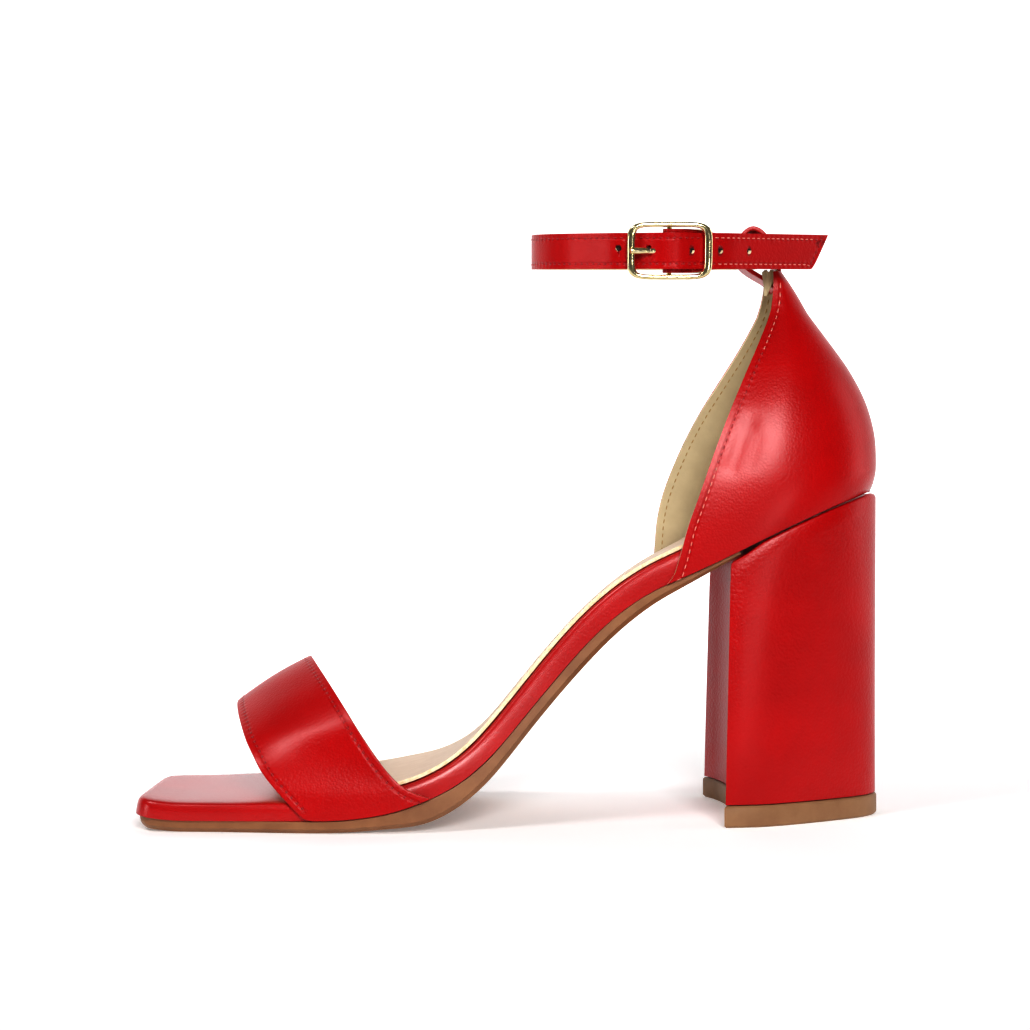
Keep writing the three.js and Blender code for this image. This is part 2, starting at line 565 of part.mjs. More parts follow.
// From the folded end round the centre bar, back through the tab, round the ankle and out as the tail.
function strapPath() {
  const points = foldInnerRows.map(({ beside, off }) => (
    planPoint(buckleMiddle + buckleHalf * beside, barOut + foldRadius + off)
  ));
  for (let turn = 80; turn <= 280; turn += 25) {
    const angle = toRadians(turn);
    points.push(planPoint(
      buckleMiddle + foldRadius * Math.cos(angle),
      barOut + foldRadius * Math.sin(angle),
    ));
  }
  for (const { beside, off } of foldOuterRows) {
    points.push(planPoint(buckleMiddle + buckleHalf * beside, barOut - foldRadius + off));
  }
  for (let turn = -50; turn <= 240; turn += 14.5) points.push(loopPoint(turn));
  for (const { beside, climb } of crossingRows) {
    points.push(planPoint(buckleMiddle + buckleHalf * beside, mix(underFrame, crestOut, climb)));
  }
  const lean = toRadians(tailAngle);
  const tailX = buckleMiddle + buckleHalf * crossingRows.at(-1).beside;
  for (const share of tailShares) {
    points.push(planPoint(
      tailX + share * tailLength * Math.cos(lean),
      underFrame + (share - tailStart) * tailLength * Math.sin(lean),
    ));
  }
  return new THREE.CatmullRomCurve3(points, false, 'centripetal');
}

function ankleStrap(prongRoom) {
  const path = strapPath();
  path.arcLengthDivisions = 900;
  const total = path.getLength();
  const uniform = { getPoint: (u) => path.getPointAt(u), getTangent: (u) => path.getTangentAt(u) };
  const foldShare = foldLength / total;
  const foldSteps = 28;
  const loopSteps = 92;
  const shares = [
    ...Array.from({ length: foldSteps }, (_, i) => (foldShare * i) / foldSteps),
    ...Array.from({ length: loopSteps + 1 }, (_, i) => mix(foldShare, 1, i / loopSteps)),
  ];
  const pastFold = (share) => THREE.MathUtils.smoothstep(share * total, foldLength - 6, foldLength + 6);
  const widthAt = (share) => mix(foldWidth, strapWidth, pastFold(share));
  const thicknessAt = (share) => mix(foldThickness, strapThickness, pastFold(share));
  const tipStart = 1 - tipLength / total;
  const tipShift = (share, edge) => (
    -(0.5 - edge) * (tailSlant / total) * clamp((share - tipStart) / (1 - tipStart), 0, 1)
  );
  const across = new THREE.Vector3(0, 0, 1);
  const band = strip(uniform, shares, across, widthAt, thicknessAt, tipShift);
  return fromManifold(toManifold(band).subtract(toManifold(prongRoom)));
}

// A round rod along a path, closed at both ends.
function rod(points, radius, sides) {
  const outline = new THREE.Shape();
  outline.absarc(0, 0, radius, 0, Math.PI * 2, false);
  const path = new THREE.CatmullRomCurve3(points, false, 'centripetal');
  return new THREE.ExtrudeGeometry(outline, {
    steps: points.length * 2,
    curveSegments: sides / 2,
    extrudePath: path,
    bevelEnabled: false,
  });
}

function roundedRectangle(shape, width, height, radius) {
  const x = width / 2;
  const y = height / 2;
  shape.moveTo(-x + radius, -y);
  shape.lineTo(x - radius, -y);
  shape.absarc(x - radius, -y + radius, radius, -Math.PI / 2, 0, false);
  shape.lineTo(x, y - radius);
  shape.absarc(x - radius, y - radius, radius, 0, Math.PI / 2, false);
  shape.lineTo(-x + radius, y);
  shape.absarc(-x + radius, y - radius, radius, Math.PI / 2, Math.PI, false);
  shape.lineTo(-x, -y + radius);
  shape.absarc(-x + radius, -y + radius, radius, Math.PI, Math.PI * 1.5, false);
  return shape;
}

// Buckle frame with its recessed centre bar on two short posts.
function buckleFrame() {
  const windowCorner = buckleCornerRadius * 0.55;
  const postSlack = 0.6; // the posts reach this much into the rails and the bar together
  const outline = roundedRectangle(
    new THREE.Shape(),
    buckleWidth - 2 * buckleEdge,
    buckleHeight - 2 * buckleEdge,
    buckleCornerRadius - buckleEdge,
  );
  outline.holes.push(roundedRectangle(
    new THREE.Path(),
    buckleWidth - 2 * buckleSideBar + 2 * buckleEdge,
    buckleHeight - 2 * buckleRail + 2 * buckleEdge,
    windowCorner,
  ));
  const ring = new THREE.ExtrudeGeometry(outline, {
    depth: buckleDepth - 2 * buckleEdge,
    bevelSize: buckleEdge,
    bevelThickness: buckleEdge,
    bevelSegments: 1,
    curveSegments: 5,
  });
  ring.translate(0, 0, -(buckleDepth - 2 * buckleEdge) / 2);
  ring.rotateX(Math.PI / 2);
  ring.translate(buckleMiddle, frameOut, 0);
  const reach = buckleHeight / 2 - buckleRail / 2;
  const bar = new THREE.CylinderGeometry(centreBarRadius, centreBarRadius, 2 * reach, 16);
  bar.rotateX(Math.PI / 2);
  bar.translate(buckleMiddle, barOut, 0);
  let solid = toManifold(ring).add(toManifold(bar));
  const postLength = centreBarRecess + postSlack;
  for (const side of [-1, 1]) {
    const post = new THREE.CylinderGeometry(centreBarRadius, centreBarRadius, postLength, 16);
    post.translate(buckleMiddle, (barOut + frameOut + postSlack) / 2, side * reach);
    solid = solid.add(toManifold(post));
  }
  return fromManifold(solid);
}

// The prong's middle line: an eye round the centre bar, then straight through the strap to the left bar.
function prongPoints() {
  const eyeSlack = 0.05; // the eye's facets stay clear of the bar by this much
  const tipShare = 0.45; // share of the left bar's width that the tip reaches over
  const eye = centreBarRadius + clearance + prongRadius + eyeSlack;
  const points = [];
  for (let turn = -20; turn <= 235; turn += 25) {
    const angle = toRadians(turn);
    points.push(planPoint(buckleMiddle + eye * Math.cos(angle), barOut + eye * Math.sin(angle)));
  }
  const tipOut = frameOut - buckleDepth / 2 - clearance - prongRadius;
  const tipX = buckleMiddle - buckleHalf + buckleSideBar * tipShare;
  const from = points.at(-1);
  for (const share of [0.25, 0.5, 0.75, 1]) {
    points.push(planPoint(mix(from.x, tipX, share), mix(from.y, tipOut, share)));
  }
  return points;
}

// The loop of the counter's own leather that holds the ankle strap.
function backTab() {
  const topZ = lastHeight(insoleBack) + counterHeight * counterRows.at(-1).backRise + clearance;
  const points = tabRows.map((row) => new THREE.Vector3(
    counterTopX - row.ahead * strapWidth,
    0,
    topZ + row.up * strapWidth,
  ));
  const path = new THREE.CatmullRomCurve3(points, false, 'centripetal');
  const shares = Array.from({ length: 41 }, (_, i) => i / 40);
  const across = new THREE.Vector3(0, 1, 0);
  return strip(path, shares, across, () => tabWidth, () => tabThickness, () => 0);
}

// Plan of the heel at a share of the way up from the lift to the seat, as one closed outline.
const heelBackX = lengthwise(insoleBack) + clearance + counterWall + heelCupBulge;
const breastX = heelBackX - heelLength;

function heelPlan(up, grow) {
  const flankSteps = 16;
  const breastSteps = 12;
  const underCounter = 0.8; // share of the counter's wall that the heel's upper edge reaches under
  const points = [];
  const half = heelWidth / 2;
  const seatGrow = clearance + counterWall * underCounter;
  const flank = (step, side) => {
    const back = Math.sin((Math.PI / 2) * (step / flankSteps));
    const x = mix(breastX + breastLean * up - grow, heelBackX + grow, back);
    const name = side < 0 ? 'outer' : 'inner';
    const rounding = Math.sqrt(1 - back ** heelBackPower);
    const atLift = (half * readTable(liftRows, 'back', name, back) + grow) * rounding;
    const seatX = mix(breastX, lengthwise(insoleBack) + seatGrow, back);
    const atSeat = halfWidth(alongOf(seatX), side, seatGrow);
    return new THREE.Vector3(x, side * mix(atLift, atSeat, up * up), 0);
  };
  for (let step = 0; step <= flankSteps; step += 1) points.push(flank(step, -1));
  for (let step = flankSteps - 1; step >= 0; step -= 1) points.push(flank(step, 1));
  const inner = points.at(-1);
  const outer = points[0];
  for (let step = 1; step < breastSteps; step += 1) {
    const t = step / breastSteps;
    const hollow = breastDepth * (1 - Math.abs(2 * t - 1) ** 3);
    points.push(inner.clone().lerp(outer, t).setX(mix(inner.x, outer.x, t) + hollow));
  }
  return points;
}

// Underside of what the heel carries: the outsole's end in front, then the seat.
function heelTop(x) {
  const stepStart = outsoleEnd + 0.006;
  const stepEnd = outsoleEnd + 0.03;
  const leastRoom = 0.1; // over the clearance, behind the outsole's end
  const along = clamp(alongOf(x), 0, insoleBack);
  const past = THREE.MathUtils.smoothstep(along, stepStart, stepEnd);
  const sole = (outsoleThickness * onLast('sole', along) + clearance) * (1 - past);
  const slope = lastSlope(along);
  return lastHeight(along) - (clearance + Math.max(sole, leastRoom)) / Math.cos(slope);
}

function heelBlock() {
  const levels = [0, 0.2, 0.4, 0.6, 0.8, 0.94, 1];
  const base = topLiftThickness + clearance;
  const outlines = levels.map((up) => heelPlan(up, 0).map((p) => (
    new THREE.Vector3(p.x, p.y, mix(base, heelTop(p.x) - heelTopRounding, up))
  )));
  const rim = heelPlan(1, 0);
  const middle = new THREE.Vector2((breastX + heelBackX) / 2, 0);
  for (const [pull, lift] of [[0.3, 0.7], [1, 1]]) {
    outlines.push(rim.map((p) => {
      const inward = new THREE.Vector2(middle.x - p.x, middle.y - p.y).normalize();
      const x = p.x + inward.x * heelTopRounding * pull;
      const y = p.y + inward.y * heelTopRounding * pull;
      return new THREE.Vector3(x, y, heelTop(x) - heelTopRounding * (1 - lift));
    }));
  }
  return stackOutlines(outlines);
}

function topLift() {
  const plan = (grow, z) => heelPlan(0, grow).map((p) => new THREE.Vector3(p.x, p.y, z));
  return stackOutlines([
    plan(topLiftOverhang - liftEdge, 0),
    plan(topLiftOverhang, liftEdge),
    plan(topLiftOverhang, topLiftThickness - liftEdge),
    plan(topLiftOverhang - liftEdge, topLiftThickness),
  ]);
}

const sandal = new THREE.Group();
sandal.add(
  namedMesh('outsole', outsole(), tan),
  namedMesh('insole', insole(), red),
  namedMesh('sock_lining', sockLining(), beige),
  namedMesh('toe_strap', toeStrap(), red),
  namedMesh('heel_counter', heelCounter(), red),
  namedMesh('back_tab', backTab(), red),
  namedMesh('heel_block', heelBlock(), red),
  namedMesh('top_lift', topLift(), liftTan),
);

const ankle = new THREE.Group();
ankle.add(
  namedMesh('ankle_strap', ankleStrap(rod(prongPoints(), prongRadius + clearance, 8)), red),
  namedMesh('buckle_frame', buckleFrame(), gold),
  namedMesh('buckle_prong', rod(prongPoints(), prongRadius, 8), gold),
);
ankle.position.set(0, 0, strapHeight);
ankle.rotation.set(toRadians(strapRoll), 0, 0);
sandal.add(ankle);

// The origin is the middle of the shoe's length and width, on the floor.
const middle = new THREE.Box3().setFromObject(sandal).getCenter(new THREE.Vector3());
sandal.position.set(-middle.x, -middle.y, 0);

export default sandal;
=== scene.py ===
import math
import random

import bmesh
import bpy
import numpy as np
from mathutils import Matrix, Vector
from mathutils.bvhtree import BVHTree


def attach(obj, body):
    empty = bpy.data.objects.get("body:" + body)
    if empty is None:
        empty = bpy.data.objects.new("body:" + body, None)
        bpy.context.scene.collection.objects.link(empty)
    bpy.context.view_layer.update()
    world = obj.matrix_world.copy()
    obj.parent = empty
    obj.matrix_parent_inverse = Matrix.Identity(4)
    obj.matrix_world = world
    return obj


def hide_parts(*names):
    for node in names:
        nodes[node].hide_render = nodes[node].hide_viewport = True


# Looks of a left block heel sandal: smooth red calf, beige lining, tan sole and a pale gold buckle.
# Each leather piece starts from a merged copy of its own solid, so it stays where the solid is.

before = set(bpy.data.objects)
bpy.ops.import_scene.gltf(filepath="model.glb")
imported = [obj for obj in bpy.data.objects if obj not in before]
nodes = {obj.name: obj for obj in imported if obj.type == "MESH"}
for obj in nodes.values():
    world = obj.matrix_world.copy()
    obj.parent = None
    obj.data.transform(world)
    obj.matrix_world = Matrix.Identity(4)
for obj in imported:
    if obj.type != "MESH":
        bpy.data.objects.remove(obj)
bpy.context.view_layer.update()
scene = bpy.context.scene
scene.view_settings.view_transform = "Standard"
scene.view_settings.gamma = 0.66  # gives the photo's deep reds and strong contrast
mm = 0.001
random.seed(7)


# Small helpers

def hexColour(code):
    channels = [int(code[i:i + 2], 16) / 255 for i in (1, 3, 5)]
    linear = [c / 12.92 if c <= 0.04045 else ((c + 0.055) / 1.055) ** 2.4 for c in channels]
    return (*linear, 1)


def addNode(tree, kind, inputs=None, **settings):
    node = tree.nodes.new(kind)
    for name, value in settings.items():
        setattr(node, name, value)
    for name, value in (inputs or {}).items():
        if isinstance(value, bpy.types.NodeSocket):
            tree.links.new(value, node.inputs[name])
        else:
            node.inputs[name].default_value = value
    return node


def startMaterial(name, **settings):
    material = bpy.data.materials.new(name)
    material.use_nodes = True
    tree = material.node_tree
    tree.nodes.clear()
    shader = addNode(tree, "ShaderNodeBsdfPrincipled", settings)
    addNode(tree, "ShaderNodeOutputMaterial", {"Surface": shader.outputs["BSDF"]})
    place = addNode(tree, "ShaderNodeTexCoord").outputs["Object"]
    return material, tree, shader, place


def perMetre(millimetres):
    return 1 / (millimetres * mm)


# Two colours mixed by soft patches of a real size
def patchyColour(tree, place, first, second, patch, share=0.5):
    noise = addNode(tree, "ShaderNodeTexNoise", {
        "Vector": place, "Scale": perMetre(patch), "Detail": 4, "Roughness": 0.6})
    spread = addNode(tree, "ShaderNodeMapRange", {
        "Value": noise.outputs["Fac"], "From Min": 0.35, "From Max": 0.65,
        "To Min": 0, "To Max": share * 2})
    return addNode(tree, "ShaderNodeMix", {
        "Factor": spread.outputs["Result"], "A": hexColour(first), "B": hexColour(second),
    }, data_type="RGBA")


# Materials

# A sewn seam in the skin, in mm from the thread: the groove, the puckers beside it and the needle holes,
# whose shade is painted into the colour
seamLook = {
    "grooveFrom": 0.1, "grooveTo": 0.8, "puckerFrom": 0.3, "puckerTo": 1.7, "holeFrom": 0.25, "holeTo": 0.5,
    "paintedHoleShade": 0.7, "paintedHoleShadeColour": "#560006", "depth": 0.22,
}


# Finished calf leather, pigmented and polished: a fine pebble grain under a clear gloss. The seam
# attributes, in millimetres, pull the skin down under the thread and pucker it towards the edge.
def calfLeather(name, look):
    material, tree, shader, place = startMaterial(name, **{
        "Roughness": look["roughness"], "Specular IOR Level": 0.25, "Coat Weight": look["coat"],
        "Coat Roughness": look["coatRoughness"], "Coat IOR": 1.5})
    wander = addNode(tree, "ShaderNodeTexNoise", {
        "Vector": place, "Scale": perMetre(look["grain"] * 2.5), "Detail": 2})
    drift = addNode(tree, "ShaderNodeVectorMath", {
        0: wander.outputs["Color"], "Scale": look["grain"] * 0.35 * mm}, operation="SCALE")
    moved = addNode(tree, "ShaderNodeVectorMath", {0: place, 1: drift.outputs["Vector"]}, operation="ADD")
    cells = addNode(tree, "ShaderNodeTexVoronoi", {
        "Vector": moved.outputs["Vector"], "Scale": perMetre(look["grain"])})
    pores = addNode(tree, "ShaderNodeTexNoise", {
        "Vector": place, "Scale": perMetre(look["grain"] * 0.45), "Detail": 3, "Roughness": 0.7})
    height = addNode(tree, "ShaderNodeMath", {
        0: pores.outputs["Fac"], 1: -0.5, 2: cells.outputs["Distance"]}, operation="MULTIPLY_ADD")
    grain = addNode(tree, "ShaderNodeBump", {
        "Height": height.outputs["Value"], "Strength": look["relief"], "Distance": 0.09 * mm}, invert=True)
    seamSide = addNode(tree, "ShaderNodeAttribute", attribute_name="seamSide").outputs["Fac"]
    seamAlong = addNode(tree, "ShaderNodeAttribute", attribute_name="seamAlong").outputs["Fac"]
    apart = addNode(tree, "ShaderNodeMath", {0: seamSide}, operation="ABSOLUTE").outputs["Value"]
    turn = addNode(tree, "ShaderNodeMath", {0: seamAlong, 1: 2 * math.pi}, operation="MULTIPLY")
    wave = addNode(tree, "ShaderNodeMath", {0: turn.outputs["Value"]}, operation="COSINE")
    groove = addNode(tree, "ShaderNodeMapRange", {
        "Value": apart, "From Min": seamLook["grooveFrom"], "From Max": seamLook["grooveTo"],
        "To Min": 1, "To Max": 0,
    }, interpolation_type="SMOOTHSTEP")
    pucker = addNode(tree, "ShaderNodeMapRange", {
        "Value": apart, "From Min": seamLook["puckerFrom"], "From Max": seamLook["puckerTo"],
        "To Min": look["pucker"], "To Max": 0,
    }, interpolation_type="SMOOTHSTEP")
    # Painted shade: the colour is darkened in small dots along the seam, as the shade falling into the needle
    # holes
    holeAcross = addNode(tree, "ShaderNodeMapRange", {
        "Value": apart, "From Min": seamLook["holeFrom"], "From Max": seamLook["holeTo"],
        "To Min": seamLook["paintedHoleShade"], "To Max": 0})
    holeAlong = addNode(tree, "ShaderNodeMapRange", {
        "Value": wave.outputs["Value"], "From Min": -0.95, "From Max": -0.55, "To Min": 1, "To Max": 0})
    hole = addNode(tree, "ShaderNodeMath", {
        0: holeAcross.outputs["Result"], 1: holeAlong.outputs["Result"]}, operation="MULTIPLY")
    dyed = patchyColour(tree, place, look["colour"], look["deepColour"], look["patch"], 0.5)
    colour = addNode(tree, "ShaderNodeMix", {
        "Factor": hole.outputs["Value"], "A": dyed.outputs["Result"],
        "B": hexColour(seamLook["paintedHoleShadeColour"]),
    }, data_type="RGBA")
    tree.links.new(colour.outputs["Result"], shader.inputs["Base Color"])
    ripple = addNode(tree, "ShaderNodeMath", {
        0: pucker.outputs["Result"], 1: wave.outputs["Value"], 2: groove.outputs["Result"],
    }, operation="MULTIPLY_ADD")
    seam = addNode(tree, "ShaderNodeBump", {
        "Height": ripple.outputs["Value"], "Strength": 0.9, "Distance": seamLook["depth"] * mm,
        "Normal": grain.outputs["Normal"]}, invert=True)
    tree.links.new(seam.outputs["Normal"], shader.inputs["Normal"])
    uneven = addNode(tree, "ShaderNodeMapRange", {
        "Value": pores.outputs["Fac"],
        "To Min": look["roughness"] - 0.05, "To Max": look["roughness"] + 0.07})
    tree.links.new(uneven.outputs["Result"], shader.inputs["Roughness"])
    return material


# Split lining leather, dyed through and left dull: soft mottling and small open pores.
def liningLeather(name, first, second, roughness):
    material, tree, shader, place = startMaterial(name, **{
        "Roughness": roughness, "Sheen Weight": 0.15, "Sheen Roughness": 0.5})
    colour = patchyColour(tree, place, first, second, 6, 0.3)
    tree.links.new(colour.outputs["Result"], shader.inputs["Base Color"])
    pores = addNode(tree, "ShaderNodeTexVoronoi", {"Vector": place, "Scale": perMetre(0.9)})
    nap = addNode(tree, "ShaderNodeTexNoise", {"Vector": place, "Scale": perMetre(0.5), "Detail": 4})
    height = addNode(tree, "ShaderNodeMath", {
        0: pores.outputs["Distance"], 1: nap.outputs["Fac"]}, operation="ADD")
    bump = addNode(tree, "ShaderNodeBump", {
        "Height": height.outputs["Value"], "Strength": 0.3, "Distance": 0.06 * mm})
    tree.links.new(bump.outputs["Normal"], shader.inputs["Normal"])
    return material


# Raw cut edge of pale split leather: matt, with short fibres along the cut.
def cutEdge():
    material, tree, shader, place = startMaterial("rawCutEdgeLeather", Roughness=0.75)
    colour = patchyColour(tree, place, "#F6E8CC", "#E8D0A8", 1.2, 0.5)
    tree.links.new(colour.outputs["Result"], shader.inputs["Base Color"])
    fibres = addNode(tree, "ShaderNodeTexNoise", {"Vector": place, "Scale": perMetre(0.3), "Detail": 4})
    bump = addNode(tree, "ShaderNodeBump", {
        "Height": fibres.outputs["Fac"], "Strength": 0.5, "Distance": 0.05 * mm})
    tree.links.new(bump.outputs["Normal"], shader.inputs["Normal"])
    return material


# Thermoplastic rubber, moulded and buffed: an even tan with faint flow clouds and a dull shine.
def mouldedRubber(name, first, second, roughness):
    material, tree, shader, place = startMaterial(name, Roughness=roughness)
    colour = patchyColour(tree, place, first, second, 9, 0.5)
    tree.links.new(colour.outputs["Result"], shader.inputs["Base Color"])
    buffing = addNode(tree, "ShaderNodeTexNoise", {
        "Vector": place, "Scale": perMetre(0.4), "Detail": 5, "Roughness": 0.65})
    bump = addNode(tree, "ShaderNodeBump", {
        "Height": buffing.outputs["Fac"], "Strength": 0.35, "Distance": 0.04 * mm})
    tree.links.new(bump.outputs["Normal"], shader.inputs["Normal"])
    uneven = addNode(tree, "ShaderNodeMapRange", {
        "Value": buffing.outputs["Fac"], "To Min": roughness - 0.08, "To Max": roughness + 0.08})
    tree.links.new(uneven.outputs["Result"], shader.inputs["Roughness"])
    return material


# Die-cast zinc with a pale gold plating: a mirror that the casting leaves slightly wavy.
def goldPlate():
    material, tree, shader, place = startMaterial(
        "paleGoldPlatedZinc", Metallic=1, Roughness=0.17)
    colour = patchyColour(tree, place, "#F2E8C4", "#DFCF9C", 3, 0.4)
    tree.links.new(colour.outputs["Result"], shader.inputs["Base Color"])
    wavy = addNode(tree, "ShaderNodeTexNoise", {"Vector": place, "Scale": perMetre(1.6), "Detail": 2})
    bump = addNode(tree, "ShaderNodeBump", {
        "Height": wavy.outputs["Fac"], "Strength": 0.5, "Distance": 0.12 * mm})
    tree.links.new(bump.outputs["Normal"], shader.inputs["Normal"])
    return material


# Spun polyester sewing thread: dyed, slightly fuzzy, drawn a little coarser than its twist.
def sewingThread(name, code):
    material, tree, shader, place = startMaterial(name, **{"Roughness": 0.5, "Sheen Weight": 0.3})
    shader.inputs["Base Color"].default_value = hexColour(code)
    twist = addNode(tree, "ShaderNodeTexNoise", {"Vector": place, "Scale": perMetre(0.25), "Detail": 2})
    bump = addNode(tree, "ShaderNodeBump", {
        "Height": twist.outputs["Fac"], "Strength": 0.6, "Distance": 0.05 * mm})
    tree.links.new(bump.outputs["Normal"], shader.inputs["Normal"])
    return material


leatherLook = {
    "colour": "#B60006", "deepColour": "#AC0005", "patch": 22, "grain": 0.7, "relief": 0.55,
    "roughness": 0.34, "coat": 0.3, "coatRoughness": 0.25, "pucker": 0.2,
}
redCalf = calfLeather("polishedRedCalf", leatherLook)
redEdge = calfLeather("paintedRedEdge", {**leatherLook, "relief": 0.1, "pucker": 0, "roughness": 0.4})
heelCalf = calfLeather("polishedRedCalfOnHeel", {**leatherLook, "relief": 1, "pucker": 0, "grain": 0.85})
insoleCalf = calfLeather("polishedRedCalfOnInsole", {**leatherLook, "coat": 0.8, "pucker": 0})
beigeLining = liningLeather("beigeSplitLining", "#CABC9C", "#BEAF90", 0.72)
sockLeather = liningLeather("beigeSockLeather", "#E0C8B2", "#D6BCA5", 0.6)
creamEdge = cutEdge()
tanSole = mouldedRubber("tanMouldedSole", "#9A6F4D", "#8B6142", 0.42)
tanLift = mouldedRubber("tanLiftRubber", "#9D7A59", "#906D4E", 0.48)
gold = goldPlate()
redThread = sewingThread("redThread", "#A60A12")
paleThread = sewingThread("paleThread", "#DC8A7C")
liningThread = sewingThread("beigeThread", "#A88752")
# Painted shade: a near-black material laid in the punched holes, on their bottoms and upper walls, where
# shade falls
paintedHoleShade = sewingThread("paintedShadeInPunchedHoles", "#2A0604")
print("materials made")


# Mesh tools

# One piece's solid with its loose triangles welded and joined into larger faces
def mergedCopy(nodeName, evenness=1.5):
    bm = bmesh.new()
    bm.from_mesh(nodes[nodeName].data)
    bmesh.ops.remove_doubles(bm, verts=bm.verts, dist=0.005 * mm)
    bmesh.ops.join_triangles(
        bm, faces=bm.faces, angle_face_threshold=math.radians(60), angle_shape_threshold=math.radians(90),
        topology_influence=evenness)
    bm.verts.index_update()
    return bm


# Faces that meet at less than the corner angle, largest group first
def regionsOf(bm, corner):
    taken = set()
    regions = []
    for first in bm.faces:
        if first in taken:
            continue
        taken.add(first)
        region = [first]
        for face in region:
            for edge in face.edges:
                if edge.calc_face_angle(0) > corner:
                    continue
                for other in edge.link_faces:
                    if other not in taken:
                        taken.add(other)
                        region.append(other)
        regions.append(region)
    return sorted(regions, key=lambda r: -sum(f.calc_area() for f in r))


def outwardness(region, middle):
    return sum(f.calc_area() * f.normal.dot(f.calc_center_median() - middle) for f in region)


# The border of a region as rows of vertices, split at its corners
def borderRows(region, corner):
    inside = set(region)
    following = {}
    for face in region:
        for loop in face.loops:
            if any(other not in inside for other in loop.edge.link_faces) or len(loop.edge.link_faces) == 1:
                following[loop.vert] = loop.link_loop_next.vert
    rows = []
    while following:
        ring = [min(following, key=lambda v: v.index)]
        while ring[-1] in following:
            ring.append(following.pop(ring[-1]))
        ring = ring[:-1]
        count = len(ring)
        corners = []
        for i, vert in enumerate(ring):
            before = vert.co - ring[i - 1].co
            after = ring[(i + 1) % count].co - vert.co
            if before.angle(after, 0) > corner:
                corners.append(i)
        corners = corners or [0]
        for start, end in zip(corners, corners[1:] + [corners[0] + count]):
            rows.append([ring[i % count] for i in range(start, end + 1)])
    return rows


# The same rows as places, each with its direction into the region
def borderChains(region, corner):
    inside = set(region)
    chains = []
    for row in borderRows(region, corner):
        chain = []
        for i, vert in enumerate(row):
            forward = row[min(i + 1, len(row) - 1)].co - row[max(i - 1, 0)].co
            normal = sum((f.normal for f in vert.link_faces if f in inside), Vector())
            chain.append((vert.co.copy(), normal.cross(forward).normalized()))
        chains.append(chain)
    return chains


def chainLength(chain):
    return sum((b[0] - a[0]).length for a, b in zip(chain, chain[1:]))


def rowLength(row):
    return sum((b.co - a.co).length for a, b in zip(row, row[1:]))


def toObject(bm, name, materials):
    mesh = bpy.data.meshes.new(name)
    bm.to_mesh(mesh)
    bm.free()
    for material in materials:
        mesh.materials.append(material)
    mesh.shade_smooth()
    piece = bpy.data.objects.new(name, mesh)
    scene.collection.objects.link(piece)
    return piece


# Puts a piece's modifiers into its mesh
def applied(piece):
    graph = bpy.context.evaluated_depsgraph_get()
    mesh = bpy.data.meshes.new_from_object(piece.evaluated_get(graph))
    piece.modifiers.clear()
    piece.data = mesh
    mesh.name = piece.name
    return piece


def subdivided(piece, levels):
    smooth = piece.modifiers.new("smooth", "SUBSURF")
    smooth.levels = levels
    smooth.render_levels = levels
    return applied(piece)


def finished(piece, slot, *replaced):
    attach(piece, "root")
    if replaced:
        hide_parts(*replaced)
    return piece


# Colours a wall's face, its lining and both halves of its cut edge, and rounds its borders
def dressWall(bm, name, look, materials, skin, lining):
    chains = borderChains(skin, math.radians(look["turn"]))
    skin = set(skin)
    lining = set(lining)
    rim = {f for f in bm.faces if f not in skin and f not in lining}
    for face in bm.faces:
        face.material_index = 2 if face in rim else 1 if face in lining else 0
    across = [e for e in bm.edges if len(e.link_faces) == 2 and all(f in rim for f in e.link_faces)]
    bmesh.ops.subdivide_edges(bm, edges=across, cuts=1, use_grid_fill=True)
    for face in bm.faces:
        if face.material_index == 2 and any(o.material_index == 1 for e in face.edges for o in e.link_faces):
            face.material_index = 3
    border = [e for e in bm.edges if {0, 1} & {f.material_index for f in e.link_faces}
              and {2, 3} & {f.material_index for f in e.link_faces}]
    ends = [e for e in bm.edges if {f.material_index for f in e.link_faces} <= {2, 3}
            and e.calc_face_angle(0) > math.radians(60)]
    bmesh.ops.bevel(
        bm, geom=border + ends, offset=look["soften"] * mm, offset_type="OFFSET", affect="EDGES", segments=2,
        profile=0.5, material=-1, clamp_overlap=True)
    piece = toObject(bm, name, materials)
    return subdivided(piece, look["levels"]), chains


# A leather wall that keeps its solid's own mesh
def leatherWall(nodeName, name, look, materials):
    bm = mergedCopy(nodeName, look["evenness"])
    regions = regionsOf(bm, math.radians(look["corner"]))
    middle = sum((v.co for v in bm.verts), Vector()) / len(bm.verts)
    skin, lining = sorted(regions[:2], key=lambda r: -outwardness(r, middle))
    return dressWall(bm, name, look, materials, skin, lining)


# A strap that keeps only its two long cut edges and is spanned afresh between them, without the
# prong's cut, which is punched as a round hole later
def leatherStrip(nodeName, name, look, materials):
    bm = mergedCopy(nodeName, look["evenness"])
    across = Matrix.Rotation(math.radians(look["roll"]), 3, "X") @ Vector((0, 0, 1))
    wide = [f for f in bm.faces if abs(f.normal.dot(across)) < 0.8]
    bmesh.ops.delete(bm, geom=wide, context="FACES")
    bm.verts.index_update()
    rows = []
    for way in (1, -1):
        edge = [f for f in bm.faces if f.normal.dot(across) * way > 0]
        long = sorted(borderRows(edge, math.radians(75)), key=rowLength)[-2:]
        rows.append(long)
    sides = []
    for first, second in zip(*rows):
        edges = [bm.edges.get(pair) for row in (first, second) for pair in zip(row, row[1:])]
        sides.append(bmesh.ops.bridge_loops(bm, edges=edges)["faces"])
    bmesh.ops.holes_fill(bm, edges=[e for e in bm.edges if len(e.link_faces) == 1], sides=4)
    bmesh.ops.recalc_face_normals(bm, faces=bm.faces)
    return dressWall(bm, name, look, materials, sides[1], sides[0])


